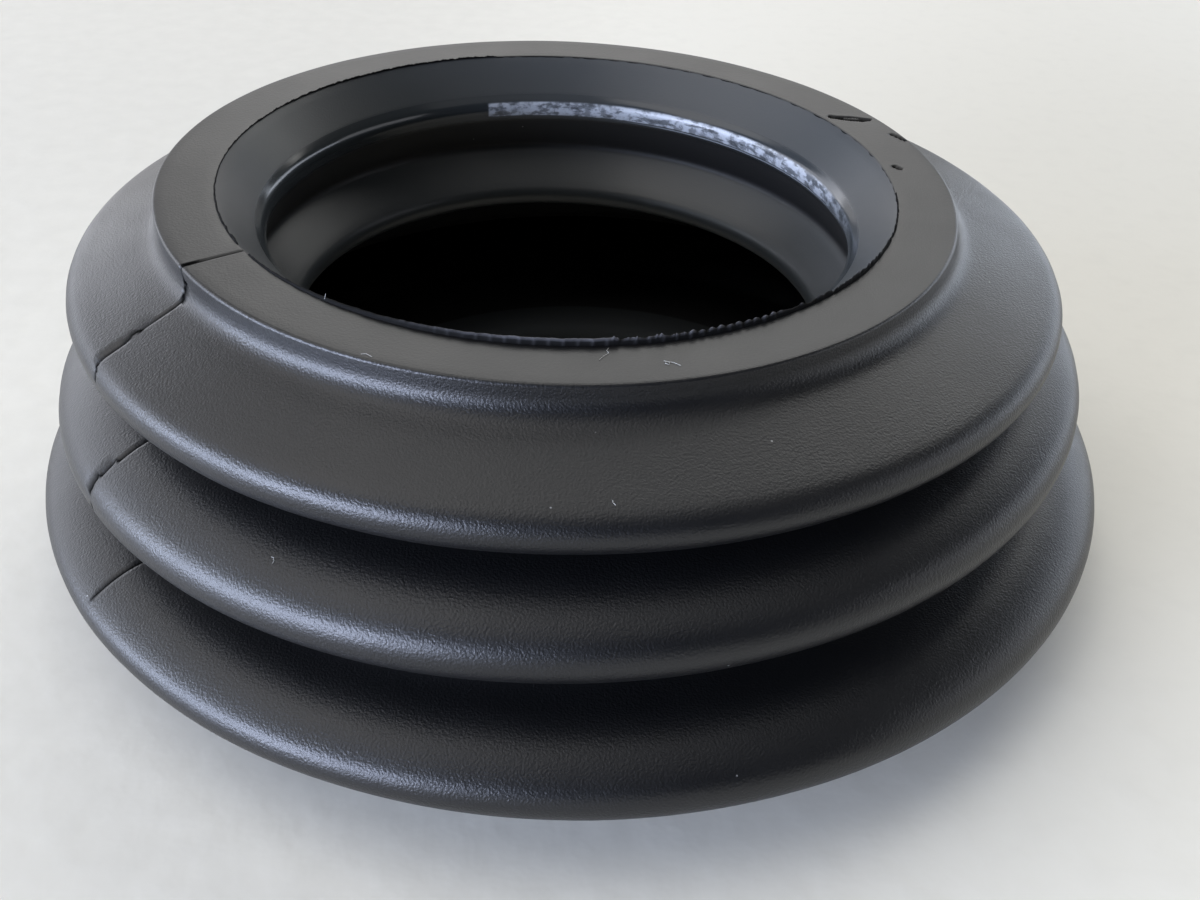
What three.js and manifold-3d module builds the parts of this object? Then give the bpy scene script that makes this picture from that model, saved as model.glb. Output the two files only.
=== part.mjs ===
// Motorcycle swingarm bellows: one moulded rubber boot that closes the gap round the
// drive shaft between the gearbox and the swingarm. It has a flat collar with a snap-in
// cuff at the top, three folds that grow towards the bottom, and a foot flanged inwards.
// Units are millimetres. +Z is up, and the origin is the centre of the foot's flat face.
import * as THREE from "three";
import { mergeVertices } from "three/addons/utils/BufferGeometryUtils.js";
import Module from "manifold-3d";

// Overall height, from the foot's flat face to the collar's flat face
const height = 37.5;

// Wall of the folds, measured at their noses and valleys
const wall = 2;

// Collar: the flat top ring. Depths are measured down from its face.
const collar = {
  radius: 39,
  faceInner: 33.4,
  edge: 0.4,
  filletDepth: 1,
  fillet: 1.3,
};

// Snap-in cuff inside the collar: a lip, a groove for the flange's rim, and a bead
const cuff = {
  lipRadius: 29.2,
  lipDepth: 5,
  lipRound: 1.5,
  grooveRadius: 31.4,
  grooveDepth: 10.4,
  grooveRound: 0.8,
  beadRadius: 27.2,
  beadDepth: 15.4,
  beadRound: 1.5,
  sleeve: 3.1,
  sleeveEdge: 0.8,
  pocketDepth: 6.2,
  pocketRound: 1.2,
};

// Folds from the top down: radius over the nose, its depth and its rounding. A shoulder
// is the wide round above a nose, which it meets where the fold falls at that slope.
const topFold = { radius: 49, depth: 7.9, nose: 2.2 };
const middleFold = { radius: 51.9, depth: 17.2, nose: 2.8, shoulder: 12, slope: 33 };
const bottomFold = { radius: 56, depth: 28.4, nose: 2.6, shoulder: 10, slope: 38 };

// Valleys between the folds: outer radius at the bottom of the valley, and its depth
const upperValley = { radius: 40, depth: 11.3 };
const lowerValley = { radius: 45, depth: 22.9 };
const valleyRound = 1.2;

// Foot: the wide end, with a flange that turns in to its bore. Heights are measured up
// from its face.
const foot = {
  radius: 47,
  edge: 0.4,
  filletHeight: 3,
  fillet: 1.3,
  flange: 3.5,
  flangeFillet: 1.5,
  boreRadius: 27.5,
};

// Sharpest rounding inside a fold's nose
const leastNoseRound = 0.3;

// Parting line of the outer mould: a fine groove down one side
const partingLine = { azimuth: -143, width: 0.4, depth: 0.35 };

// How far a flat facet may cut inside the true curve
const facetError = 0.12;

const degree = Math.PI / 180;
const widest = Math.max(topFold.radius, middleFold.radius, bottomFold.radius);

// Whole steps for a stretch of a circle, so that each facet keeps to the error above
function stepsFor(radius, swing) {
  const largestStep = 2 * Math.acos(1 - Math.min(facetError / radius, 1));
  return Math.max(1, Math.ceil(swing / largestStep));
}

// A turn of the section: the centre and radius of its arc, left (1) where the rubber's
// edge is convex and right (-1) where it is hollow
const convex = (r, z, radius) => ({ r, z, radius, side: 1 });
const hollow = (r, z, radius) => ({ r, z, radius, side: -1 });

// Direction of the straight stretch that leaves one turn and meets the next one. Where a
// turn runs into the next one with no straight between, the reach is one full radius.
function direction(from, to) {
  const along = Math.atan2(to.z - from.z, to.r - from.r);
  const length = Math.hypot(to.z - from.z, to.r - from.r);
  const reach = (to.side * to.radius - from.side * from.radius) / length;
  return along - Math.asin(Math.max(-1, Math.min(1, reach)));
}

// Points of one turn's arc, between the directions in which the path comes and goes
function arcPoints(turn, before, after) {
  const full = 2 * Math.PI;
  const swing = (((turn.side * (after - before)) % full) + full) % full;
  const steps = turn.radius > 0 ? stepsFor(turn.radius, swing) : 0;
  const points = [];
  for (let i = 0; i <= steps; i += 1) {
    const heading = before + (steps ? (turn.side * swing * i) / steps : 0);
    const r = turn.r + turn.side * turn.radius * Math.sin(heading);
    const z = turn.z - turn.side * turn.radius * Math.cos(heading);
    points.push(new THREE.Vector2(r, z));
  }
  return points;
}

// Outline through a row of turns, closed or open
function outline(turns, closed) {
  const points = [];
  turns.forEach((turn, i) => {
    const last = turns.length - 1;
    const before = turns[i > 0 ? i - 1 : last];
    const after = turns[i < last ? i + 1 : 0];
    const leaves = closed || i < last ? direction(turn, after) : direction(before, turn);
    const comes = closed || i > 0 ? direction(before, turn) : leaves;
    points.push(...arcPoints(turn, comes, leaves));
  });
  return points;
}

// Outside of a fold going up: its nose, and its shoulder where it has one. The shoulder
// runs into the nose, so its centre lies on the nose's own normal at that slope.
function foldTurns(fold) {
  const nose = convex(fold.radius - fold.nose, height - fold.depth, fold.nose);
  if (!fold.shoulder) {
    return [nose];
  }
  const back = fold.shoulder - fold.nose;
  const r = nose.r - back * Math.sin(fold.slope * degree);
  const z = nose.z - back * Math.cos(fold.slope * degree);
  return [nose, convex(r, z, fold.shoulder)];
}

// Outside of a valley
const valleyTurn = (valley) => hollow(valley.radius + valleyRound, height - valley.depth, valleyRound);

// Outside of the boot, from the foot's edge up to the collar's edge
function outside() {
  return [
    convex(foot.radius - foot.edge, foot.edge, foot.edge),
    hollow(foot.radius + foot.fillet, foot.filletHeight, foot.fillet),
    ...foldTurns(bottomFold),
    valleyTurn(lowerValley),
    ...foldTurns(middleFold),
    valleyTurn(upperValley),
    ...foldTurns(topFold),
    hollow(collar.radius + collar.fillet, height - collar.filletDepth, collar.fillet),
    convex(collar.radius - collar.edge, height - collar.edge, collar.edge),
  ];
}

// Bore of the cuff, from the collar's face down to the sleeve's lower edge
function cuffBore() {
  const sleeveRadius = cuff.grooveRadius + cuff.sleeve;
  const sleeveEnd = height - cuff.beadDepth - cuff.beadRound;
  return [
    convex(collar.faceInner, height, 0),
    convex(cuff.lipRadius + cuff.lipRound, height - cuff.lipDepth, cuff.lipRound),
    hollow(cuff.grooveRadius - cuff.grooveRound, height - cuff.grooveDepth, cuff.grooveRound),
    convex(cuff.beadRadius + cuff.beadRound, height - cuff.beadDepth, cuff.beadRound),
    convex(sleeveRadius - cuff.sleeveEdge, sleeveEnd + cuff.sleeveEdge, cuff.sleeveEdge),
    hollow(sleeveRadius + cuff.pocketRound, height - cuff.pocketDepth, cuff.pocketRound),
  ];
}

// Inside of a fold's nose and of a valley: the outside's centres, one wall further in
const insideNose = (fold) =>
  hollow(fold.radius - fold.nose, height - fold.depth, Math.max(fold.nose - wall, leastNoseRound));
const insideRidge = (valley) =>
  convex(valley.radius + valleyRound, height - valley.depth, valleyRound + wall);

// Inside of the folds, then the foot's flange and the full round of its bore
function inside() {
  const boreRound = foot.flange / 2;
  return [
    insideNose(topFold),
    insideRidge(upperValley),
    insideNose(middleFold),
    insideRidge(lowerValley),
    insideNose(bottomFold),
    convex(foot.radius + foot.fillet, foot.filletHeight, foot.fillet + wall),
    hollow(foot.radius - wall - foot.flangeFillet, foot.flange + foot.flangeFillet, foot.flangeFillet),
    convex(foot.boreRadius + boreRound, boreRound, boreRound),
  ];
}

// Closed ring from the whole section, spun about Y by three.js and stood up on +Z
function ring() {
  const section = outline([...outside(), ...cuffBore(), ...inside()], true);
  const stepsRound = 4 * stepsFor(widest, Math.PI / 2);
  const geometry = new THREE.LatheGeometry([...section, section[0]], stepsRound);
  return geometry.rotateX(Math.PI / 2);
}

// Thin upright plate that reaches into the outside by the parting line's depth
function partingPlate() {
  const cut = outside().map((turn) =>
    ({ ...turn, radius: turn.radius - turn.side * partingLine.depth }));
  const clear = widest + collar.edge;
  const above = height + collar.edge;
  const shape = new THREE.Shape([
    new THREE.Vector2(clear, -foot.edge),
    new THREE.Vector2(foot.radius - foot.edge, -foot.edge),
    ...outline(cut, false),
    new THREE.Vector2(collar.faceInner, height - partingLine.depth),
    new THREE.Vector2(collar.faceInner, above),
    new THREE.Vector2(clear, above),
  ]);
  const plate = new THREE.ExtrudeGeometry(shape, { depth: partingLine.width, bevelEnabled: false });
  plate.translate(0, 0, -partingLine.width / 2);
  return plate.rotateX(Math.PI / 2).rotateZ(partingLine.azimuth * degree);
}

const wasm = await Module();
wasm.setup();

// Closed three.js geometry to a manifold solid, joined on position alone
function toSolid(geometry) {
  const bare = geometry.clone();
  bare.deleteAttribute("normal");
  bare.deleteAttribute("uv");
  const merged = mergeVertices(bare, 1e-4);
  return new wasm.Manifold(new wasm.Mesh({
    numProp: 3,
    vertProperties: new Float32Array(merged.attributes.position.array),
    triVerts: new Uint32Array(merged.index.array),
  }));
}

// Manifold solid back to a three.js geometry
function toGeometry(solid) {
  const mesh = solid.getMesh();
  const geometry = new THREE.BufferGeometry();
  geometry.setAttribute("position", new THREE.BufferAttribute(mesh.vertProperties, 3));
  geometry.setIndex(new THREE.BufferAttribute(mesh.triVerts, 1));
  geometry.computeVertexNormals();
  return geometry;
}

const rubber = new THREE.MeshStandardMaterial({ color: 0x2b2c2f, roughness: 0.55, metalness: 0 });

const bellows = new THREE.Mesh(
  toGeometry(toSolid(ring()).subtract(toSolid(partingPlate()))),
  rubber,
);
bellows.name = "bellows";

const group = new THREE.Group();
group.add(bellows);

export default group;
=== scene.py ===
# %% [markdown]
# # A swingarm bellows in moulded rubber
# The object is one rubber boot with three folds. The imported model already holds its size
# and section. Here it gets its finish: the soft lean of real rubber, the torn flash that
# the mould left, the film on its smooth lip with a painted reflection in it, painted light
# and shade in its bore and grooves, the moulded grain and a little dust.
# The frame comes first, because every piece is placed in it.

# %% Load the frame
import math

import bpy
import numpy as np
from mathutils import Matrix, Vector, noise


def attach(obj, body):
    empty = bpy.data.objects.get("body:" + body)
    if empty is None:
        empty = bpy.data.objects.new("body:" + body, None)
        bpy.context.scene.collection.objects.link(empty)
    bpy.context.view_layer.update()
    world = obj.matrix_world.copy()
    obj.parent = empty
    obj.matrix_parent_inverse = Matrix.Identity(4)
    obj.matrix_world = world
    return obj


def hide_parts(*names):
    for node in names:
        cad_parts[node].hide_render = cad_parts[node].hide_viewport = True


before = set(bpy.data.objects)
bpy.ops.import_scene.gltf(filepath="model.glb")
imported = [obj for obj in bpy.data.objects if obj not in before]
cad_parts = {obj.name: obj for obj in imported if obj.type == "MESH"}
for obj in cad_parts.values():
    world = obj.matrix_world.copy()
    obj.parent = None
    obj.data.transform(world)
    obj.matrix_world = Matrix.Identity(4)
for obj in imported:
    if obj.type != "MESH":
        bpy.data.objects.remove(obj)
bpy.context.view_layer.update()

# %% [markdown]
# ## Camera
# The photograph was taken close up, so the perspective is strong. Its camera was solved
# from the rings' ellipses: it stands about 130 mm from the collar and looks down on it.
# A camera made from three directions needs no aiming: right, up and back are the columns
# of its turn.

# %% Camera
MM = 0.001
PHOTO_WIDTH = 1200
SENSOR = 36.0
HEIGHT = 37.5
CAMERA_PLACE = Vector((-1.05, -117.7, HEIGHT + 49.9)) * MM
FOCAL_PIXELS = 1249.0
LOOK_DOWN, LOOK_ASIDE, ROLL = 0.621, 0.032, 0.033


def camera_axes(down, aside, roll):
    """Right, up and forward directions of a camera that looks along +Y, turned and rolled."""
    forward = Vector((math.sin(aside) * math.cos(down), math.cos(aside) * math.cos(down), -math.sin(down)))
    level = Vector((math.cos(aside), -math.sin(aside), 0.0))
    upright = level.cross(forward)
    right = math.cos(roll) * level + math.sin(roll) * upright
    up = math.cos(roll) * upright - math.sin(roll) * level
    return right, up, forward


right, up, forward = camera_axes(LOOK_DOWN, LOOK_ASIDE, ROLL)
camera_data = bpy.data.cameras.new("camera")
camera_data.sensor_width = SENSOR
camera_data.lens = FOCAL_PIXELS / PHOTO_WIDTH * SENSOR
camera_data.clip_start = 0.005
camera = bpy.data.objects.new("camera", camera_data)
bpy.context.collection.objects.link(camera)
camera.matrix_world = Matrix.Translation(CAMERA_PLACE) @ Matrix((right, up, -forward)).transposed().to_4x4()
bpy.context.scene.camera = camera
print("lens", round(camera_data.lens, 1), "mm, camera at", [round(v / MM) for v in CAMERA_PLACE], "mm")

# %% [markdown]
# ## Section of the boot
# A moulded ring is drawn best as its section, spun round the axis. The section is a row
# of round turns joined by straight stretches that touch them, as a draughtsman draws it
# with compasses and a rule. A turn is convex where rubber fills its inside, and hollow
# where air does. A shoulder is a wide turn that runs into a fold's nose without a corner.

# %% Sizes of the section in millimetres
WALL = 2.0
COLLAR = dict(radius=39.0, face_inner=33.4, edge=0.35, fillet_depth=1.2, fillet=2.3,
              inner_edge=0.25, inner_shift=0.1)
LIP = dict(radius=29.2, depth=5.0, round=1.5)
GROOVE = dict(radius=31.4, depth=10.4, round=0.8)
BEAD = dict(radius=27.2, depth=15.4, round=1.5)
SLEEVE = dict(thickness=3.1, edge=0.8, pocket_depth=6.2, pocket_round=1.2)
FOLDS = [
    dict(radius=49.0, depth=7.9, nose=2.2),
    dict(radius=51.9, depth=17.2, nose=2.8, shoulder=12.0, slope=33.0),
    dict(radius=56.0, depth=28.4, nose=2.6, shoulder=10.0, slope=38.0),
]
VALLEYS = [dict(radius=40.0, depth=11.3), dict(radius=45.0, depth=22.9)]
VALLEY_ROUND = 1.2
FOOT = dict(radius=47.0, edge=0.4, fillet_height=3.0, fillet=1.3)
FLANGE = dict(thickness=3.5, fillet=1.5, bore=27.5)
LEAST_ROUND = 0.3


def convex(r, z, radius):
    """A turn with rubber inside its arc."""
    return dict(r=r, z=z, radius=radius, side=1)


def hollow(r, z, radius):
    """A turn with air inside its arc."""
    return dict(r=r, z=z, radius=radius, side=-1)


def fold_turns(fold):
    """A fold's nose, and its shoulder where it has one, going up the outside."""
    nose = convex(fold["radius"] - fold["nose"], HEIGHT - fold["depth"], fold["nose"])
    if "shoulder" not in fold:
        return [nose]
    back = fold["shoulder"] - fold["nose"]
    slope = math.radians(fold["slope"])
    r, z = nose["r"] - back * math.sin(slope), nose["z"] - back * math.cos(slope)
    return [nose, convex(r, z, fold["shoulder"])]


def section_turns():
    """The whole section as turns, up the outside, over the collar and down the inside."""
    valleys = [(v["radius"] + VALLEY_ROUND, HEIGHT - v["depth"]) for v in VALLEYS]
    sleeve = GROOVE["radius"] + SLEEVE["thickness"]
    sleeve_end = HEIGHT - BEAD["depth"] - BEAD["round"]
    edge = COLLAR["inner_edge"]
    outside = [
        convex(FOOT["radius"] - FOOT["edge"], FOOT["edge"], FOOT["edge"]),
        hollow(FOOT["radius"] + FOOT["fillet"], FOOT["fillet_height"], FOOT["fillet"]),
        *fold_turns(FOLDS[2]),
        hollow(*valleys[1], VALLEY_ROUND),
        *fold_turns(FOLDS[1]),
        hollow(*valleys[0], VALLEY_ROUND),
        *fold_turns(FOLDS[0]),
        hollow(COLLAR["radius"] + COLLAR["fillet"], HEIGHT - COLLAR["fillet_depth"], COLLAR["fillet"]),
        convex(COLLAR["radius"] - COLLAR["edge"], HEIGHT - COLLAR["edge"], COLLAR["edge"]),
    ]
    cuff = [
        convex(COLLAR["face_inner"] + COLLAR["inner_shift"], HEIGHT - edge, edge),
        convex(LIP["radius"] + LIP["round"], HEIGHT - LIP["depth"], LIP["round"]),
        hollow(GROOVE["radius"] - GROOVE["round"], HEIGHT - GROOVE["depth"], GROOVE["round"]),
        convex(BEAD["radius"] + BEAD["round"], HEIGHT - BEAD["depth"], BEAD["round"]),
        convex(sleeve - SLEEVE["edge"], sleeve_end + SLEEVE["edge"], SLEEVE["edge"]),
        hollow(sleeve + SLEEVE["pocket_round"], HEIGHT - SLEEVE["pocket_depth"], SLEEVE["pocket_round"]),
    ]
    noses = [hollow(f["radius"] - f["nose"], HEIGHT - f["depth"], max(f["nose"] - WALL, LEAST_ROUND))
             for f in FOLDS]
    half = FLANGE["thickness"] / 2
    corner = FOOT["radius"] - WALL - FLANGE["fillet"]
    inside = [
        noses[0],
        convex(*valleys[0], VALLEY_ROUND + WALL),
        noses[1],
        convex(*valleys[1], VALLEY_ROUND + WALL),
        noses[2],
        convex(FOOT["radius"] + FOOT["fillet"], FOOT["fillet_height"], FOOT["fillet"] + WALL),
        hollow(corner, FLANGE["thickness"] + FLANGE["fillet"], FLANGE["fillet"]),
        convex(FLANGE["bore"] + half, half, half),
    ]
    return outside, cuff, inside


outside, cuff, inside = section_turns()
print(len(outside + cuff + inside), "turns in the section")

# %% Points along the section
FINE = dict(turn=math.radians(16), length=1.0)
COARSE = dict(turn=math.radians(35), length=3.5)


def heading(a, b):
    """Direction of the straight stretch that leaves turn a and meets turn b."""
    dr, dz = b["r"] - a["r"], b["z"] - a["z"]
    reach = (b["side"] * b["radius"] - a["side"] * a["radius"]) / math.hypot(dr, dz)
    return math.atan2(dz, dr) - math.asin(max(-1.0, min(1.0, reach)))


def arc(turn, comes, leaves, spacing):
    """Points on a turn, from the direction in which the path comes to that in which it leaves."""
    swing = (turn["side"] * (leaves - comes)) % (2 * math.pi)
    step = min(spacing["turn"], spacing["length"] / turn["radius"]) if turn["radius"] else 0.0
    steps = max(1, math.ceil(swing / step)) if step else 0
    points = []
    for i in range(steps + 1):
        way = comes + (turn["side"] * swing * i / steps if steps else 0.0)
        points.append((turn["r"] + turn["side"] * turn["radius"] * math.sin(way),
                       turn["z"] - turn["side"] * turn["radius"] * math.cos(way)))
    return points


def between(a, b, length):
    """Points inside the straight stretch from a to b."""
    parts = max(1, round(math.dist(a, b) / length))
    return [(a[0] + (b[0] - a[0]) * i / parts, a[1] + (b[1] - a[1]) * i / parts) for i in range(1, parts)]


turns = outside + cuff + inside
spacings = [FINE] * len(outside + cuff) + [COARSE] * len(inside)
befores, afters = turns[-1:] + turns[:-1], turns[1:] + turns[:1]
arcs = [arc(turn, heading(before, turn), heading(turn, after), spacing)
        for before, turn, after, spacing in zip(befores, turns, afters, spacings)]
stretches = [points + between(points[-1], following[0], spacing["length"])
             for points, following, spacing in zip(arcs, arcs[1:] + arcs[:1], spacings)]
section = sum(stretches, [])
outside_count = sum(len(points) for points in stretches[:len(outside)])
print(len(section), "points in the section,", outside_count, "of them outside")

# %% [markdown]
# ## The boot
# A vertex is extruded from point to point of the section, and the finished outline is
# spun round Z in two goes: wide columns for most of the ring, and fine ones across the
# parting line, where the torn edges need them. Merging the first column with the last
# closes the ring, and the normals are worked out again, because a spin can leave them
# facing in.

# %% Draw the outline and spin it
SEAM_AZIMUTH = math.radians(-143.4)
SEAM_SECTOR = math.radians(5.6)
WIDE_COLUMNS, FINE_COLUMNS = 260, 30
MERGE = 1e-6


def deselect_all():
    """Leaves nothing selected, because an operator acts on all that is."""
    for item in bpy.context.selected_objects:
        item.select_set(False)


def draw_outline(name, points, azimuth):
    """A new object: one vertex, extruded through the points and back to the first."""
    deselect_all()
    bpy.ops.mesh.primitive_plane_add(size=MM)
    obj = bpy.context.object
    obj.name = obj.data.name = name
    bpy.ops.object.mode_set(mode="EDIT")
    bpy.ops.mesh.select_mode(type="VERT")
    bpy.ops.mesh.merge(type="CENTER")
    places = [Vector((r * math.cos(azimuth), r * math.sin(azimuth), z)) * MM for r, z in points]
    bpy.ops.transform.translate(value=places[0])
    for here, there in zip(places, places[1:] + places[:1]):
        bpy.ops.mesh.extrude_region_move(TRANSFORM_OT_translate={"value": there - here})
    bpy.ops.mesh.select_all(action="SELECT")
    bpy.ops.mesh.remove_doubles(threshold=MERGE)
    return obj


def spin(steps, angle):
    """Spins what is selected round Z and leaves its last column selected."""
    bpy.ops.mesh.spin(steps=steps, angle=angle, center=(0, 0, 0), axis=(0, 0, 1))


def close_ring(obj):
    """Joins the last column to the first and turns all faces outwards."""
    bpy.ops.mesh.select_all(action="SELECT")
    bpy.ops.mesh.remove_doubles(threshold=MERGE)
    bpy.ops.mesh.normals_make_consistent(inside=False)
    bpy.ops.object.mode_set(mode="OBJECT")
    bpy.ops.object.shade_smooth()
    print(obj.name, "has", len(obj.data.polygons), "faces")


boot = draw_outline("rubber_boot", section, SEAM_AZIMUTH + SEAM_SECTOR / 2)
bpy.ops.mesh.select_all(action="SELECT")
spin(WIDE_COLUMNS, 2 * math.pi - SEAM_SECTOR)
spin(FINE_COLUMNS, SEAM_SECTOR)
close_ring(boot)

# %% [markdown]
# ## Finer faces where the rubber is torn
# The parting line is ragged, and the collar has a few small cuts on its far right. They
# are finer than the faces there, so those faces are picked by their place and divided.

# %% Divide the faces along the parting line and the cuts
SEAM_LEVELS = [0.0, 13.0, 22.0, 24.0, 33.0, 35.0, HEIGHT]
SEAM_DEGREES = [-142.0, -141.3, -143.4, -142.6, -144.6, -144.9, -144.7]
SEAM_REACH, SEAM_FACES = 0.55, 3
CUTS = [
    dict(path=[(34.3, 28.9), (35.2, 28.7), (36.6, 27.4), (37.9, 25.6)], half=0.08, depth=0.6),
    dict(path=[(34.3, 28.9), (35.6, 27.0), (36.9, 25.5), (37.9, 25.6)], half=0.14, depth=0.6),
    dict(path=[(34.4, 29.5), (35.1, 28.2)], half=0.24, depth=0.7),
    dict(path=[(36.9, 25.9), (37.7, 25.5)], half=0.24, depth=0.5),
    dict(path=[(37.9, 19.0), (38.3, 17.5), (38.55, 16.2)], half=0.16, depth=0.5),
    dict(path=[(34.6, 6.2), (35.0, 5.2)], half=0.2, depth=0.5),
]
CUTS_BOTTOM, CUT_REACH, CUT_FACES = 34.4, 1.0, 4


def distance_to_stroke(x, y, path):
    """Distance from each place to a row of straight strokes, in millimetres."""
    corners = [(r * math.cos(math.radians(a)), r * math.sin(math.radians(a))) for r, a in path]
    nearest = np.full(np.shape(x), np.inf)
    for (ax, ay), (bx, by) in zip(corners, corners[1:]):
        length = math.dist((ax, ay), (bx, by))
        t = np.clip(((x - ax) * (bx - ax) + (y - ay) * (by - ay)) / length ** 2, 0, 1)
        nearest = np.minimum(nearest, np.hypot(x - ax - t * (bx - ax), y - ay - t * (by - ay)))
    return nearest


def near_seam_line(r, z, turn):
    """True on the outside, close to the parting line."""
    ahead = (turn - math.radians(np.interp(z, SEAM_LEVELS, SEAM_DEGREES))) * r
    behind_cuff = r < COLLAR["face_inner"] or (r < COLLAR["radius"] - 0.5 and z < HEIGHT - 0.1)
    return abs(ahead) < SEAM_REACH and z > 8.0 and not behind_cuff


def near_cut(r, z, turn):
    """True on the collar, close to a cut."""
    if z < CUTS_BOTTOM or not 0 < turn < math.radians(35) or r < COLLAR["face_inner"]:
        return False
    x, y = r * math.cos(turn), r * math.sin(turn)
    return min(float(distance_to_stroke(x, y, stroke["path"])) for stroke in CUTS) < CUT_REACH


def divide(obj, chosen, cuts):
    """Divides the faces for which chosen(r, z, azimuth) is true."""
    deselect_all()
    obj.select_set(True)
    bpy.context.view_layer.objects.active = obj
    bpy.ops.object.mode_set(mode="EDIT")
    bpy.ops.mesh.select_mode(type="FACE")
    bpy.ops.mesh.select_all(action="DESELECT")
    bpy.ops.object.mode_set(mode="OBJECT")
    for face in obj.data.polygons:
        x, y, z = face.center / MM
        face.select = chosen(math.hypot(x, y), z, math.atan2(y, x))
    bpy.ops.object.mode_set(mode="EDIT")
    bpy.ops.mesh.subdivide(number_cuts=cuts)
    bpy.ops.object.mode_set(mode="OBJECT")
    print(obj.name, "has", len(obj.data.polygons), "faces")


divide(boot, near_seam_line, SEAM_FACES)
divide(boot, near_cut, CUT_FACES)

# %% [markdown]
# ## Keep the moulded place
# The rubber is cut, torn and bent out of its moulded shape next. Its material still needs
# to know where each point was in the mould, such as how far down the lip it is, so that
# place is kept as an attribute before anything moves. Each vertex also learns which point
# of the section it came from, and with that which way is out.

# %% Moulded place as an attribute
def points_of(obj):
    """All vertex places of a mesh, in millimetres."""
    flat = np.empty(len(obj.data.vertices) * 3)
    obj.data.vertices.foreach_get("co", flat)
    return flat.reshape(-1, 3) / MM


def move_points(obj, points):
    """Puts the vertices where the rows of points are, in millimetres."""
    obj.data.vertices.foreach_set("co", (points * MM).ravel())
    obj.data.update()


def keep(obj, name, values):
    """Stores a vector, or one number, for each vertex."""
    kind, slot = ("FLOAT_VECTOR", "vector") if values.ndim == 2 else ("FLOAT", "value")
    attribute = obj.data.attributes.new(name, kind, "POINT")
    attribute.data.foreach_set(slot, values.astype(np.float32).ravel())


def nearest_in_section(r, z):
    """Number of the section's point nearest to each vertex."""
    row = np.array(section)
    chunks = zip(np.array_split(r, 30), np.array_split(z, 30))
    nearest = [np.hypot(a[:, None] - row[:, 0], b[:, None] - row[:, 1]).argmin(axis=1) for a, b in chunks]
    return np.concatenate(nearest)


moulded = points_of(boot)
keep(boot, "moulded", moulded)
radius = np.hypot(moulded[:, 0], moulded[:, 1])
azimuth = np.arctan2(moulded[:, 1], moulded[:, 0])
level = moulded[:, 2]
origin = nearest_in_section(radius, level)
way = np.roll(section, -1, axis=0) - np.roll(section, 1, axis=0)
facing = np.stack([way[:, 1], -way[:, 0]], axis=1) / np.hypot(*way.T)[:, None]
out_r, out_z = facing[origin].T
outwards = np.stack([out_r * np.cos(azimuth), out_r * np.sin(azimuth), out_z], axis=1)
print("moulded height", round(float(level.max()), 2), "mm")

# %% [markdown]
# ## Parting line, cuts and waves
# Everything here is a distance out of the surface, added up for each vertex. The mould's
# two halves left a torn parting line down one side: wide and a little ragged on the upper
# faces, a hairline over the noses. The cuts are short strokes on the collar, and where two
# strokes cross the deeper one counts. Soft waves of a few hundredths of a millimetre keep
# the long highlights from looking turned on a lathe.

# %% Parting line
SEAM_DEPTH = 0.22
HAIRLINE = 0.03
TORN_EDGE = 0.04


def noise_at(x, y=0.0, z=0.0):
    """Smooth noise from -1 to 1, for one place."""
    return noise.noise(Vector((x, y, z)))


def smooth_step(value, low, high):
    """0 below low and 1 above high, smooth between."""
    t = np.clip((value - low) / (high - low), 0, 1)
    return t * t * (3 - 2 * t)


def seam_offset():
    """Millimetres round the ring from the middle of the ragged parting line."""
    middle = np.radians(np.interp(level, SEAM_LEVELS, SEAM_DEGREES))
    ragged = np.zeros(len(level))
    for i in np.nonzero(near_seam)[0]:
        place = radius[i] * 0.9 + level[i]
        ragged[i] = 0.09 * noise_at(place * 0.7, 3.1) + 0.035 * noise_at(place * 2.2, 7.7)
    upper = smooth_step(out_z, 0.35, 0.7) * smooth_step(HEIGHT - level, 0.2, 0.8)
    return (azimuth - middle) * radius - ragged * (0.15 + 0.85 * upper)


def seam_half_width():
    """Half the width of the parting line: widest on the flat collar and on the upper faces."""
    flat = 0.09 + 0.09 * smooth_step(radius, 34.0, 38.6)
    face = np.zeros(len(level))
    for i in np.nonzero(near_seam)[0]:
        place = radius[i] * 0.9 + level[i]
        face[i] = 0.10 + 0.05 * noise_at(place * 1.1, 12.4) + 0.02 * noise_at(place * 3.0, 1.9)
    wide = np.maximum(smooth_step(out_z, 0.45, 0.75), smooth_step(level, 34.5, 35.0) * (radius < 41.5))
    on_collar = level > HEIGHT - 0.05
    return np.where(on_collar, flat, HAIRLINE + wide * (np.maximum(face, HAIRLINE) - HAIRLINE))


on_outside = (origin < outside_count) | ((level > HEIGHT - 0.05) & (radius >= COLLAR["face_inner"] - 0.1))
near_seam = on_outside & (np.abs(azimuth - SEAM_AZIMUTH) < SEAM_SECTOR)
half_width = seam_half_width()
off_line = np.abs(seam_offset())
seam = near_seam * (1 - smooth_step(off_line, half_width, half_width + TORN_EDGE))
push = -seam * SEAM_DEPTH * np.clip(half_width / 0.12, 0.25, 1.0)
# This mask marks torn rubber and also carries painted shade: the material turns the parting line matt black,
# as if the groove were in shade.
torn_and_shade = near_seam * (1 - smooth_step(off_line, half_width + TORN_EDGE, half_width + 2 * TORN_EDGE))
print("parting line moves", int((seam > 0.05).sum()), "vertices")

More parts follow.
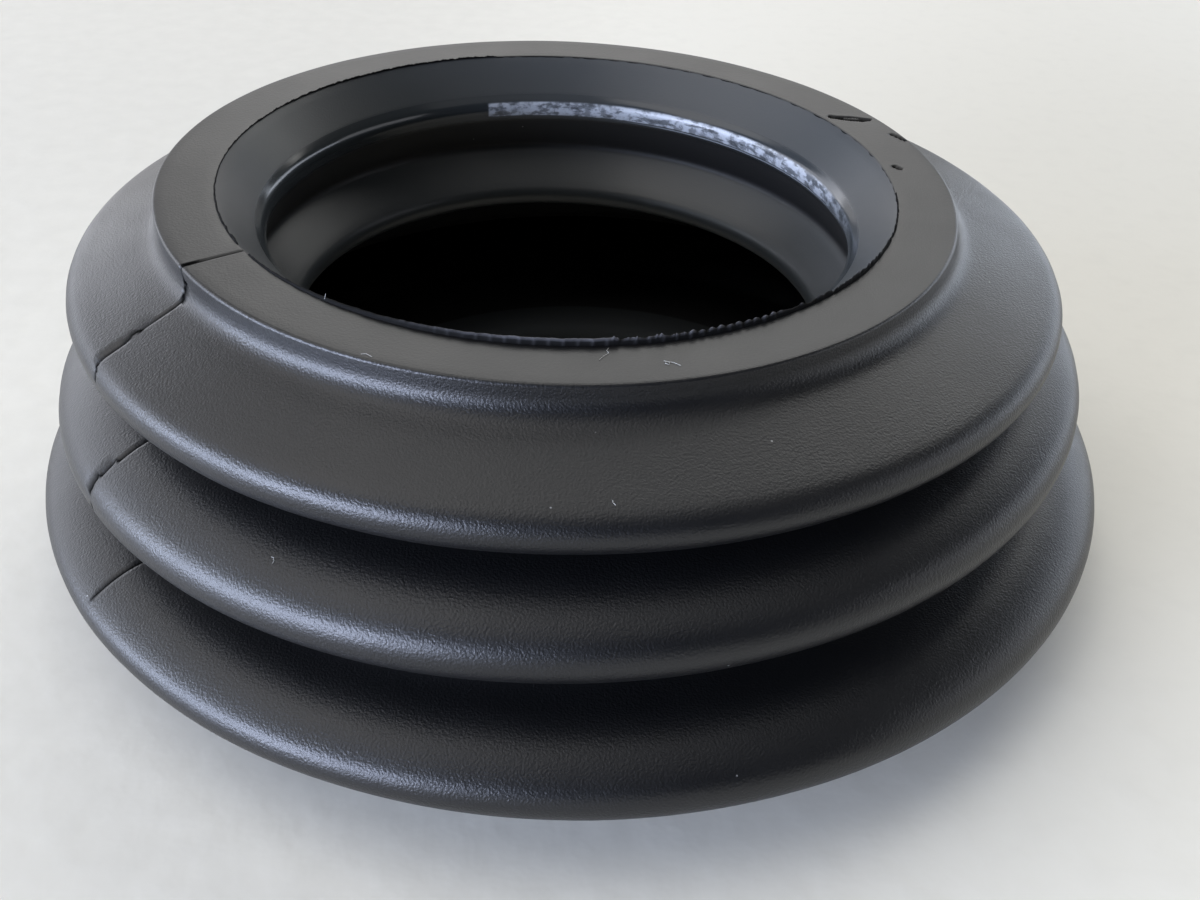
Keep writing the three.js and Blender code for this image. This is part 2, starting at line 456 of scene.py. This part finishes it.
# %% Cuts in the collar
CUT_FLOOR, CUT_SLOPE = 0.6, 0.12
cut = np.zeros(len(moulded))
for stroke in CUTS:
    near = distance_to_stroke(moulded[:, 0], moulded[:, 1], stroke["path"])
    inside_stroke = 1 - smooth_step(near, stroke["half"] * CUT_FLOOR, stroke["half"] + CUT_SLOPE)
    mark = on_outside * (level > CUTS_BOTTOM) * inside_stroke
    cut = np.maximum(cut, mark * stroke["depth"])
    # The cuts join the same mask of torn rubber and painted shade.
    torn_and_shade = np.maximum(torn_and_shade, smooth_step(mark, 0.05, 0.4))
push -= cut
keep(boot, "torn_and_shade", torn_and_shade)
print(len(CUTS), "strokes cut")

# %% Waves
WAVE_LENGTHS = [14.0, 5.0]
WAVE_HEIGHTS = [0.045, 0.014]


def waves():
    """Soft waves over the whole boot, the same for every vertex at one place."""
    total = np.zeros(len(moulded))
    for length, height in zip(WAVE_LENGTHS, WAVE_HEIGHTS):
        total += height * np.array([noise_at(*point) for point in (moulded / length).tolist()])
    return total


push += waves() * smooth_step(level, 1.0, 4.0)
worn = moulded + outwards * push[:, None]
move_points(boot, worn)
print("largest move", round(float(np.abs(push).max()), 2), "mm")

# %% [markdown]
# ## Lean of the rings
# Rubber sets a little crooked. Each ring stands a bit off the axis and out of level, as
# measured on the photograph, and between the rings the lean changes smoothly. The foot
# stays flat, because it stands on the table. The stiff cuff moves as one with the collar.

# %% Lean the rings
RING_HEIGHTS = [0.0, 4.0] + [HEIGHT - fold["depth"] for fold in reversed(FOLDS)] + [HEIGHT]
SHIFT_X = [0.0, 0.0, -0.2, -0.78, -1.05, -2.15]
SHIFT_Y = [0.0, 0.0, -0.2, -0.7, 0.0, 0.0]
SLOPE_X = [0.0, 0.0, 0.005, 0.030, 0.002, -0.016]
SLOPE_Y = [0.0, 0.0, 0.0, -0.006, -0.006, 0.014]
CUFF_INNER, CUFF_OUTER, CUFF_BOTTOM = 34.6, 38.5, 12.0


def smooth_through(knots, values, at):
    """A smooth curve through the knots, with the slope at each from its neighbours."""
    knots, values = np.array(knots), np.array(values)
    slopes = np.gradient(values, knots)
    i = np.clip(np.searchsorted(knots, at) - 1, 0, len(knots) - 2)
    span = knots[i + 1] - knots[i]
    t = np.clip((at - knots[i]) / span, 0, 1)
    start = (1 + 2 * t) * (1 - t) ** 2 * values[i] + t * (1 - t) ** 2 * span * slopes[i]
    end = t * t * (3 - 2 * t) * values[i + 1] + t * t * (t - 1) * span * slopes[i + 1]
    return start + end


def lean(points):
    """Points moved with the ring that they belong to."""
    x, y, z = points.T
    stiff = smooth_step(-np.hypot(x, y), -CUFF_OUTER, -CUFF_INNER) * (z > CUFF_BOTTOM)
    ring = z + (HEIGHT - z) * stiff
    move_x, move_y, slope_x, slope_y = (
        smooth_through(RING_HEIGHTS, values, ring) for values in (SHIFT_X, SHIFT_Y, SLOPE_X, SLOPE_Y))
    return np.stack([x + move_x, y + move_y, z + slope_x * x + slope_y * y], axis=1)


move_points(boot, lean(worn))
print("leaning height", round(float(points_of(boot)[:, 2].max()), 2), "mm")

# %% [markdown]
# ## Torn flash
# Where the mould's core met its top plate, a fin of rubber was torn off the collar's inner
# edge. In front it still stands over half a millimetre tall, with ribs, then tips and small
# loops, and further round it is a ragged stump. A circle is extruded upwards in rows and
# its columns are cut down to the fin's height.

# %% Draw the fin
FIN_COLUMNS = 1800
FIN_ROOT = -0.2
FIN_ROWS, FIN_ROW = 3, 0.3
FIN_THICKNESS = 0.1
FIN_RADIUS = COLLAR["face_inner"] - 0.02


def draw_fin():
    """A thin standing ring: a circle extruded upwards in three rows."""
    deselect_all()
    root = Vector((0, 0, HEIGHT + FIN_ROOT)) * MM
    bpy.ops.mesh.primitive_circle_add(vertices=FIN_COLUMNS, radius=FIN_RADIUS * MM, location=root)
    obj = bpy.context.object
    obj.name = obj.data.name = "torn_flash"
    bpy.ops.object.transform_apply(location=True)
    bpy.ops.object.mode_set(mode="EDIT")
    bpy.ops.mesh.select_mode(type="EDGE")
    bpy.ops.mesh.select_all(action="SELECT")
    for _ in range(FIN_ROWS):
        bpy.ops.mesh.extrude_region_move(TRANSFORM_OT_translate={"value": (0, 0, FIN_ROW * MM)})
    bpy.ops.mesh.select_all(action="SELECT")
    bpy.ops.mesh.normals_make_consistent(inside=False)
    bpy.ops.object.mode_set(mode="OBJECT")
    return obj


fin = draw_fin()
print("fin has", len(fin.data.polygons), "faces")

# %% Tear the fin
TALL = 0.6
GONE = -0.12
RIB_SPACING = 1.15
LOOP_SPACING = 0.85
# Azimuths at which one kind of tear ends and the next one starts
RIBS, TIPS, LOOPS, BREAK, STUMP, DOTS, BARE = -143, -82, -72, -57, -50, -24, -4
BACK_STUMP = (104, -147)


def fin_height(degrees):
    """Height of the torn edge over the collar's face at that azimuth, in millimetres."""
    run = math.radians(degrees) * FIN_RADIUS
    rough = noise_at(run * 1.7, 0.3)
    sharp = noise_at(run * 6.0, 5.2)
    if RIBS < degrees < TIPS:
        rise = min(1.0, (degrees - RIBS) / 48)
        return TALL * (0.15 + 0.85 * rise) + 0.04 * rough + 0.03 * sharp
    if TIPS <= degrees < LOOPS:
        return TALL * 0.85 + 0.25 * rough + 0.3 * max(0.0, sharp)
    if LOOPS <= degrees < BREAK:
        return TALL * 0.55 + 0.26 * abs(math.sin(math.pi * run / LOOP_SPACING)) + 0.12 * rough
    if BREAK <= degrees < STUMP:
        return 0.34 + 0.25 * rough
    if STUMP <= degrees < DOTS:
        return 0.30 + 0.25 * rough + 0.25 * sharp
    if DOTS <= degrees < BARE:
        return 0.12 + 0.40 * rough + 0.30 * sharp - 0.006 * (degrees - DOTS)
    if degrees > BACK_STUMP[0] or degrees < BACK_STUMP[1]:
        return 0.1 + 0.1 * rough + 0.12 * sharp
    return GONE


def tear(obj):
    """Cuts the fin's columns down to their height, leans them in and marks their tips for a painted
    highlight.
    """
    points = points_of(obj)
    around = np.arctan2(points[:, 1], points[:, 0])
    share = (points[:, 2] - HEIGHT - FIN_ROOT) / (FIN_ROWS * FIN_ROW)
    tops = np.array([fin_height(math.degrees(a)) for a in around])
    run = around * FIN_RADIUS
    rib = np.abs(np.cos(math.pi * run / RIB_SPACING)) ** 12
    curl = np.array([noise_at(value * 0.8, 9.1) for value in run])
    inward = share ** 2 * (0.12 + 0.12 * curl) - 0.05 * rib * (tops > 0.5)
    points[:, 0] -= inward * np.cos(around)
    points[:, 1] -= inward * np.sin(around)
    points[:, 2] = HEIGHT + FIN_ROOT + share * (tops - FIN_ROOT)
    move_points(obj, points)
    # The tip mask is a painted highlight along the fin's top edge and ribs.
    keep(obj, "tip_highlight", np.clip(share ** 8 + 0.25 * rib * share, 0, 1) * smooth_step(tops, 0.35, 0.7))


tear(fin)
thicken = fin.modifiers.new("thickness", "SOLIDIFY")
thicken.thickness = FIN_THICKNESS * MM
thicken.offset = 0.0
bpy.context.view_layer.objects.active = fin
bpy.ops.object.modifier_apply(modifier="thickness")
keep(fin, "moulded", points_of(fin))
move_points(fin, lean(points_of(fin)))
deselect_all()
fin.select_set(True)
bpy.ops.object.shade_smooth()
print("fin torn; it has", len(fin.data.polygons), "faces")

# %% [markdown]
# ## Shader maths
# Materials are graphs of nodes, and a graph is easiest to read as a formula. This small
# class wraps a socket, so that plus, minus and times signs add Math nodes. Every other
# node comes from one method, which takes its kind, its settings and its inputs.

# %% A value that can be calculated with
class Value:
    """A node's output, with Python's own signs for the Math nodes."""

    def __init__(self, shader, socket):
        self.shader, self.socket = shader, socket

    def maths(self, operation, *inputs):
        return self.shader.node("ShaderNodeMath", {"operation": operation}, dict(enumerate(inputs)))

    def __add__(self, other):
        return self.maths("ADD", self, other)

    def __sub__(self, other):
        return self.maths("SUBTRACT", self, other)

    def __rsub__(self, other):
        return self.maths("SUBTRACT", other, self)

    def __mul__(self, other):
        return self.maths("MULTIPLY", self, other)

    def __pow__(self, other):
        return self.maths("POWER", self, other)

    __radd__, __rmul__ = __add__, __mul__


class Shader:
    """A material with a Principled surface, and the one method that adds its other nodes."""

    def __init__(self, name, **constants):
        self.material = bpy.data.materials.new(name)
        self.material.use_nodes = True
        self.tree = self.material.node_tree
        self.surface = self.tree.nodes["Principled BSDF"]
        for socket, value in constants.items():
            self.surface.inputs[socket.replace("_", " ").title().replace("Ior", "IOR")].default_value = value

    def node(self, kind, settings=None, inputs=None, output=0):
        made = self.tree.nodes.new(kind)
        for name, value in (settings or {}).items():
            setattr(made, name, value)
        for socket, value in (inputs or {}).items():
            self.feed(made.inputs[socket], value)
        return Value(self, made.outputs[output])

    def feed(self, socket, value):
        if isinstance(value, Value):
            self.tree.links.new(value.socket, socket)
        else:
            socket.default_value = value

    def surface_gets(self, **values):
        for socket, value in values.items():
            self.feed(self.surface.inputs[socket.replace("_", " ")], value)

    def blend_to_matt(self, factor, colour):
        """The surface where factor is 0, and a matt one of that colour where it is 1."""
        matt = self.node("ShaderNodeBsdfDiffuse", None, {"Color": (*colour, 1.0)})
        surface = Value(self, self.surface.outputs[0])
        blend = self.node("ShaderNodeMixShader", None, {"Fac": factor, 1: surface, 2: matt})
        self.feed(self.tree.nodes["Material Output"].inputs["Surface"], blend)

    def step(self, value, low, high):
        """0 below low, 1 above high, smooth between. With low above high it falls instead."""
        settings = {"interpolation_type": "SMOOTHSTEP"}
        inputs = {"Value": value, "From Min": low, "From Max": high}
        return self.node("ShaderNodeMapRange", settings, inputs)

    def band(self, value, low, high, soft):
        """1 between low and high, and 0 outside them."""
        return self.step(value, low - soft, low + soft) * self.step(value, high + soft, high - soft)

    def noise(self, place, size, detail=2.0, roughness=0.5):
        """Noise whose blobs are about that many millimetres across, from 0 to 1."""
        inputs = {"Vector": place, "Scale": 1 / size, "Detail": detail, "Roughness": roughness}
        return self.node("ShaderNodeTexNoise", None, inputs)

    def mix(self, factor, a, b):
        """Colour a where factor is 0, and b where it is 1."""
        a, b = ((*value, 1.0) if isinstance(value, tuple) else value for value in (a, b))
        return self.node("ShaderNodeMix", {"data_type": "RGBA"}, {0: factor, 6: a, 7: b}, output=2)


print("shader helpers ready")

# %% [markdown]
# ## Rubber
# The outside came out of a sandblasted mould, so it is matt with a grain of about a fifth
# of a millimetre. The bore came off a polished core and is smoother, most of all its lip.
# A pale film of release wax dried on the far side of the lip, wiped thin in patches; its bluish
# colour also holds a painted reflection of the window. The outside is nearly black, and what the
# eye reads as grey there is light on the grain. The bore is painted a lighter, bluish grey for the
# sky light on it, and the groove under the lip is kept black as painted shade. The parting line
# and cuts blend to matt black as painted shade in them.

# %% Rubber material
BLACK = (0.0035, 0.0037, 0.0044)
# The bore's lighter, bluish grey is painted sky light; the rubber's own colour is the black above.
BORE_SKY_LIGHT_GREY = (0.027, 0.031, 0.034)
# The matt black over the parting line and cuts is painted shade in those grooves, over the torn rubber's own
# black.
# The pale grey on the fin's tips is a painted highlight.
TORN_AND_SHADE_BLACK, TIP_HIGHLIGHT_GREY = (0.003, 0.003, 0.003), (0.11, 0.11, 0.12)
DUST = (0.20, 0.20, 0.195)
# The film's pale bluish colour is partly a real film and partly a painted reflection of the window.
FILM_AND_REFLECTION = (0.40, 0.43, 0.48)
SPECK_SCALE, SPECK_SIZES, SPECK_SHARE = 0.30, (0.034, 0.016), (0.66, 0.68)
OUTSIDE_ROUGHNESS, LIP_ROUGHNESS, HIDDEN_ROUGHNESS = 0.40, 0.16, 0.85
GRAIN_SIZE, GRAIN_DEPTH = 0.21, 0.05 * MM
# Where each finish starts and is full: radii, depths below the collar, levels and degrees
LIP_DEPTHS, LIP_RADII = (3.5, 6.7), (31.4, 31.0)
BORE_DEPTHS, BORE_RADII = (0.02, 0.2), (33.6, 33.2)
GROOVE_DEPTHS, GROOVE_RADII = (6.4, 10.9), (32.0, 31.6)
HIDDEN_LEVELS, HIDDEN_RADII = (19.5, 18.5), (45.0, 44.0)
FACE_DEPTHS = (0.05, 0.02)
FILM_AND_REFLECTION_DEPTHS, FILM_AND_REFLECTION_RADII = (4.25, 5.9), (30.4, 30.2)
FILM_AND_REFLECTION_FAR_END, FILM_AND_REFLECTION_NEAR_END = (108.0, 107.4), (-12.0, 30.0)
SECOND_DEPTHS, SECOND_FAR_END = (6.05, 6.2), (80.0, 60.0)


def rubber_material():
    shader = Shader("moulded_rubber")
    place = shader.node("ShaderNodeAttribute", {"attribute_name": "moulded"}, output="Vector")
    torn_and_shade_here = shader.node("ShaderNodeAttribute", {"attribute_name": "torn_and_shade"}, output="Fac")
    apart = shader.node("ShaderNodeSeparateXYZ", None, {"Vector": place})
    x, y, z = (Value(shader, apart.socket.node.outputs[i]) for i in range(3))
    from_axis = (x * x + y * y) ** 0.5
    turn = y.maths("ARCTAN2", y, x) * (180 / math.pi)
    depth = HEIGHT - z
    lip = shader.band(depth, *LIP_DEPTHS, 0.2) * shader.step(from_axis, *LIP_RADII)
    bore = shader.step(from_axis, *BORE_RADII) * shader.step(depth, *BORE_DEPTHS)
    groove = shader.band(depth, *GROOVE_DEPTHS, 0.3) * shader.step(from_axis, *GROOVE_RADII)
    hidden = shader.step(from_axis, *HIDDEN_RADII) * shader.step(z, *HIDDEN_LEVELS)
    flat = shader.step(depth, *FACE_DEPTHS)
    blotch = shader.noise(place, 6.0, 3.0)
    grain = shader.noise(place, GRAIN_SIZE, 2.0)
    dragged = shader.step(shader.noise(place, 1.3, 3.0, 0.6), 0.44, 0.64)
    streak = shader.node("ShaderNodeCombineXYZ", None, {"X": turn * 0.25, "Y": depth * 1.2})
    smeared = shader.step(shader.noise(streak, 1.0, 3.0, 0.6), 0.62, 0.46)
    # The film mask holds a painted window reflection over a real pale film: it is cut off at the azimuths
    # where the reflection shows.
    reach = shader.step(turn, *FILM_AND_REFLECTION_FAR_END) * shader.step(turn, *FILM_AND_REFLECTION_NEAR_END)
    film_and_reflection = shader.band(depth, *FILM_AND_REFLECTION_DEPTHS, 0.12) * reach * shader.step(from_axis, *FILM_AND_REFLECTION_RADII)
    film_and_reflection = film_and_reflection * (0.25 + smeared * 0.75) * (1 - dragged * 0.6)
    second = shader.band(depth, *SECOND_DEPTHS, 0.06) * reach * shader.step(turn, *SECOND_FAR_END) * lip * 0.5
    film_and_reflection = film_and_reflection.maths("MAXIMUM", film_and_reflection, second)
    rough = OUTSIDE_ROUGHNESS + (blotch - 0.5) * 0.10 - bore * 0.02
    rough = rough + lip * (LIP_ROUGHNESS + film_and_reflection * 0.2 - rough) + groove * 0.2
    rough = rough + hidden * (HIDDEN_ROUGHNESS - rough)
    height = grain * (1 - bore * 0.75) * (1 - lip * 0.9) * (1 - flat * 0.6)
    bump = shader.node("ShaderNodeBump", None, {"Strength": 1.0, "Distance": GRAIN_DEPTH, "Height": height})
    cell = shader.node("ShaderNodeTexVoronoi", None, {"Vector": place, "Scale": SPECK_SCALE})
    colour_of_cell = Value(shader, cell.socket.node.outputs["Color"])
    picked = shader.step(colour_of_cell, *SPECK_SHARE)
    speck = shader.step(cell, *SPECK_SIZES) * picked * shader.step(z, 2.0, 3.0)
    # The bore gets a lighter, bluish grey as painted sky light, and the groove under the lip stays black as
    # painted shade.
    plain = shader.mix(bore * (1 - groove), BLACK, BORE_SKY_LIGHT_GREY)
    # The film colour is a painted window reflection over a real pale film.
    colour = shader.mix(film_and_reflection, plain, FILM_AND_REFLECTION)
    colour = shader.mix(speck, colour, DUST)
    shader.surface_gets(Base_Color=colour, Roughness=rough, Normal=bump)
    # Where the parting line and cuts are, the surface blends to matt black: painted shade in those grooves
    # over the torn rubber.
    shader.blend_to_matt(torn_and_shade_here, TORN_AND_SHADE_BLACK)
    return shader.material


def flash_material():
    """The same black rubber, torn and matt, with a painted highlight at its thin top edge."""
    shader = Shader("torn_rubber", roughness=0.8, specular_ior_level=0.12)
    tip_highlight = shader.node("ShaderNodeAttribute", {"attribute_name": "tip_highlight"}, output="Fac")
    shader.surface_gets(Base_Color=shader.mix(tip_highlight, TORN_AND_SHADE_BLACK, TIP_HIGHLIGHT_GREY))
    return shader.material


boot.data.materials.append(rubber_material())
fin.data.materials.append(flash_material())
print("rubber on", boot.name, "and", fin.name)

# %% [markdown]
# ## Lint
# A few hairs of lint lie on the rubber. Each is a row of extruded vertices, turned into a
# curve with a round bevel and back into a mesh. Its places are given in the mould's own
# terms, radius, height and degrees, so that it leans with the ring that it lies on.

# %% Lint
HAIR_THICKNESS, HAIR_LIFT = 0.018, 0.06
HAIRS = [
    [(33.8, 37.5, -82.8), (34.2, 37.5, -83.2), (34.6, 37.5, -83.0), (35.0, 37.5, -83.8), (35.5, 37.5, -84.4)],
    [(36.2, 37.5, -76.5), (36.5, 37.5, -75.9), (36.8, 37.5, -76.1), (36.6, 37.5, -76.5), (36.3, 37.5, -76.2),
     (36.6, 37.5, -75.4), (37.1, 37.5, -74.8)],
    [(38.5, 37.5, -112.6), (38.3, 37.5, -112.1), (38.4, 37.5, -111.6), (38.5, 37.5, -111.2)],
    [(33.5, 37.7, -124.2), (33.4, 38.2, -124.0)],
    [(48.7, 23.7, -118.3), (48.7, 23.7, -118.0), (48.9, 23.6, -117.8), (49.1, 23.5, -117.8)],
    [(46.9, 32.1, -85.6), (47.1, 32.0, -85.6), (47.3, 31.9, -85.4)],
]


def hair(name, places):
    """A thin round hair through places just over the leaning boot."""
    deselect_all()
    spots = [(r * math.cos(math.radians(a)), r * math.sin(math.radians(a)), z + HAIR_LIFT)
             for r, z, a in places]
    path = [Vector(spot) * MM for spot in lean(np.array(spots))]
    bpy.ops.mesh.primitive_plane_add(size=MM)
    obj = bpy.context.object
    obj.name = obj.data.name = name
    bpy.ops.object.mode_set(mode="EDIT")
    bpy.ops.mesh.select_mode(type="VERT")
    bpy.ops.mesh.merge(type="CENTER")
    bpy.ops.transform.translate(value=path[0])
    for here, there in zip(path, path[1:]):
        bpy.ops.mesh.extrude_region_move(TRANSFORM_OT_translate={"value": there - here})
    bpy.ops.object.mode_set(mode="OBJECT")
    bpy.ops.object.convert(target="CURVE")
    curve = bpy.context.object
    curve.data.splines[0].use_smooth = True
    curve.data.bevel_depth = HAIR_THICKNESS * MM
    curve.data.bevel_resolution = 1
    bpy.ops.object.convert(target="MESH")
    return bpy.context.object


lint_material = Shader("lint", base_color=(0.42, 0.42, 0.40, 1.0), roughness=0.7).material
hairs = [hair(f"lint_{number}", places) for number, places in enumerate(HAIRS, start=1)]
for item in hairs:
    item.data.materials.clear()
    item.data.materials.append(lint_material)
print(len(hairs), "hairs of lint")

# %% [markdown]
# ## Table and light
# The boot stood on a pale table in a room with one bright window low on the left, more
# daylight behind, and nothing bright in front of it. Each lamp is given as the direction
# and size in which the boot sees it, and its brightness. The camera sees a pale backdrop
# past the table's edge, which casts no light on the boot.

# %% Table
# The far colour is darker: painted shade towards the back of the table.
TABLE_NEAR, TABLE_FAR = (0.81, 0.79, 0.715), (0.67, 0.655, 0.60)
TABLE_LEFT_SHADE = 0.14


def table():
    """A large pale sheet under the boot, painted a little darker where it runs away to the back, as painted
    shade.
    """
    deselect_all()
    bpy.ops.mesh.primitive_plane_add(size=3.0)
    floor = bpy.context.object
    floor.name = "table"
    shader = Shader("table_white", roughness=0.6)
    place = shader.node("ShaderNodeTexCoord", output="Object")
    apart = shader.node("ShaderNodeSeparateXYZ", None, {"Vector": place})
    back = shader.step(Value(shader, apart.socket.node.outputs[1]), -0.06, 0.12)
    left = shader.step(apart, 0.03, -0.06)
    mottle = shader.noise(place, 0.004, 3.0)
    # Painted shade: the sheet is darker towards the back and at the left, on top of its own mottle.
    plain = shader.mix(back, TABLE_NEAR, TABLE_FAR)
    shade = (mottle - 0.5) * 0.10 + left * TABLE_LEFT_SHADE
    colour = shader.mix(shade, plain, (0.0, 0.0, 0.0))
    bump = shader.node("ShaderNodeBump", None, {"Strength": 0.3, "Distance": 0.0002, "Height": mottle})
    shader.surface_gets(Base_Color=colour, Normal=bump)
    floor.data.materials.append(shader.material)
    return floor


floor = table()
print("table under the boot")

# %% Lamps
LAMP_DISTANCE = 1.2
LAMPS = [
    dict(name="window_back", azimuth=-165, elevation=7, width=30, height=18, light=(14.3, 16.3, 21.2)),
    dict(name="window_front", azimuth=-135, elevation=7, width=30, height=18, light=(22.2, 25.0, 33.2)),
    dict(name="window_top", azimuth=-160, elevation=24, width=50, height=16, light=(1.4, 1.6, 1.9)),
    dict(name="left_wall", azimuth=155, elevation=14, width=60, height=28, light=(2.95, 3.05, 3.35)),
    dict(name="back_wall", azimuth=75, elevation=42, width=60, height=30, light=(2.55, 2.55, 2.5)),
    dict(name="back_low", azimuth=100, elevation=12, width=60, height=24, light=(1.2, 1.17, 1.17)),
    dict(name="right_wall", azimuth=38, elevation=7, width=50, height=16, light=(3.2, 3.5, 4.0)),
    dict(name="right_front", azimuth=-8, elevation=12, width=40, height=24, light=(1.3, 1.33, 1.42)),
    dict(name="ceiling_left", azimuth=180, elevation=60, width=50, height=36, light=(1.9, 1.85, 1.8)),
    dict(name="ceiling_back", azimuth=90, elevation=82, width=40, height=40, light=(1.0, 1.0, 1.0)),
    dict(name="ceiling_front", azimuth=-70, elevation=62, width=60, height=26, light=(0.3, 0.3, 0.3)),
]


def softbox(name, azimuth, elevation, width, height, light):
    """An area light that faces the boot. Its place and size are angles seen from the boot."""
    data = bpy.data.lights.new(name, "AREA")
    data.shape = "RECTANGLE"
    data.size = 2 * LAMP_DISTANCE * math.tan(math.radians(width / 2))
    data.size_y = 2 * LAMP_DISTANCE * math.tan(math.radians(height / 2))
    strongest = max(light)
    data.color = [value / strongest for value in light]
    data.energy = strongest * math.pi * data.size * data.size_y
    lamp = bpy.data.objects.new(name, data)
    bpy.context.collection.objects.link(lamp)
    a, e = math.radians(azimuth), math.radians(elevation)
    towards = Vector((math.cos(a) * math.cos(e), math.sin(a) * math.cos(e), math.sin(e)))
    lamp.location = towards * LAMP_DISTANCE
    lamp.rotation_mode = "QUATERNION"
    lamp.rotation_quaternion = towards.to_track_quat("Z", "Y")


for lamp in LAMPS:
    softbox(**lamp)
print(len(LAMPS), "lamps")

# %% Room
ROOM, BACKDROP = (0.01, 0.01, 0.01), (0.62, 0.61, 0.59)


class Room(Shader):
    """The world: almost dark for the boot, and a pale backdrop for the camera."""

    def __init__(self, name):
        self.world = bpy.data.worlds.new(name)
        self.world.use_nodes = True
        self.tree = self.world.node_tree
        seen = self.node("ShaderNodeLightPath", output="Is Camera Ray")
        self.feed(self.tree.nodes["Background"].inputs["Color"], self.mix(seen, ROOM, BACKDROP))


bpy.context.scene.world = Room("room").world
bpy.context.scene.view_settings.view_transform = "Standard"
print("world:", bpy.context.scene.world.name)

# %% [markdown]
# ## Hand over
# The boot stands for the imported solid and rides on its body.

# %% Ride on the frame
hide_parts("bellows")
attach(boot, "root")
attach(fin, "root")
for item in hairs:
    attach(item, "root")
